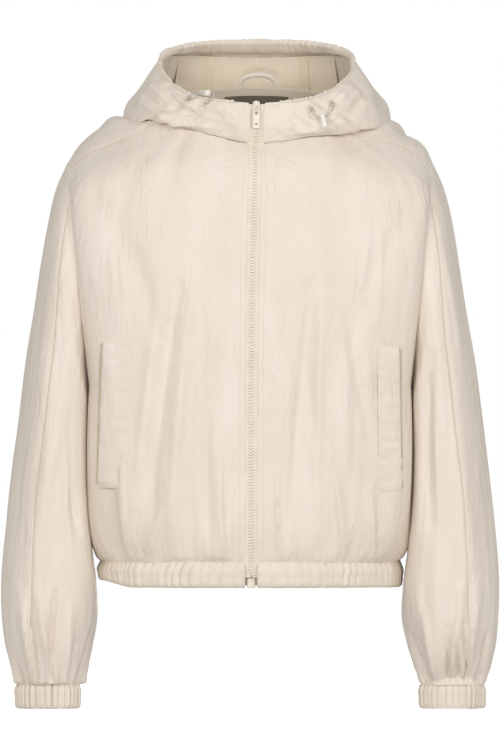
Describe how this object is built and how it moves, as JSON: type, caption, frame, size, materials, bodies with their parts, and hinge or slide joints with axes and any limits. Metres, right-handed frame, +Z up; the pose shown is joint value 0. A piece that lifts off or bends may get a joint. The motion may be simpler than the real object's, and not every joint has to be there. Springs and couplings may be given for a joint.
{
  "type": "hooded short jacket",
  "caption": "Short hooded windbreaker in its worn form: open hem and cuffs gathered on elastic, front zip, welt pockets, and a lowered hood with drawcord, mesh lining and hanger loop.",
  "frame": {"origin": "between the wearer's shoulders, level with the sides of the neck seam", "axes": "+Z up, +X towards the wearer's left, the front with its zip faces -Y"},
  "size_m": [0.6262, 0.3214, 0.8401],
  "materials": {
    "nylon_shell": "light woven nylon with a soft sheen",
    "elastic_band": "nylon gathered over elastic",
    "mesh_lining": "warp-knit mesh",
    "label_cloth": "plain woven tape, bare",
    "zip_tape": "twill zip tape",
    "zip_plastic": "moulded acetal teeth",
    "enamelled_zinc": "enamelled die casting",
    "cord_braid": "round braid",
    "moulded_lock": "moulded barrel"
  },
  "bodies": {
    "jacket": {"back": "nylon_shell", "cord_lock_left": "moulded_lock", "cord_lock_right": "moulded_lock", "cuff_left": "elastic_band", "cuff_right": "elastic_band", "drawcord_left": "cord_braid", "drawcord_right": "cord_braid", "eyelet_inner_left": "enamelled_zinc", "eyelet_inner_right": "enamelled_zinc", "eyelet_outer_left": "enamelled_zinc", "eyelet_outer_right": "enamelled_zinc", "front_left": "nylon_shell", "front_right": "nylon_shell", "hanger_loop": "nylon_shell", "hem_band": "elastic_band", "hood_casing": "nylon_shell", "hood_centre": "nylon_shell", "hood_left": "nylon_shell", "hood_lining_centre": "mesh_lining", "hood_lining_left": "mesh_lining", "hood_lining_right": "mesh_lining", "hood_right": "nylon_shell", "neck_label": "label_cloth", "neck_lining": "mesh_lining", "sleeve_back_left": "nylon_shell", "sleeve_back_right": "nylon_shell", "sleeve_front_left": "nylon_shell", "sleeve_front_right": "nylon_shell", "welt_left": "nylon_shell", "welt_right": "nylon_shell", "zip_box": "zip_plastic", "zip_chain": "zip_plastic", "zip_slider": "enamelled_zinc", "zip_tape_left": "zip_tape", "zip_tape_right": "zip_tape"},
    "zip_pull": {"zip_pull": "enamelled_zinc"}
  },
  "joints": [
    {"name": "zip_pull_hinge", "type": "hinge", "parent": "jacket", "child": "zip_pull", "pos_m": [0.00794, -0.108, 0.0036], "axis": [-1, 0, 0], "range_deg": [0, 150]}
  ]
}
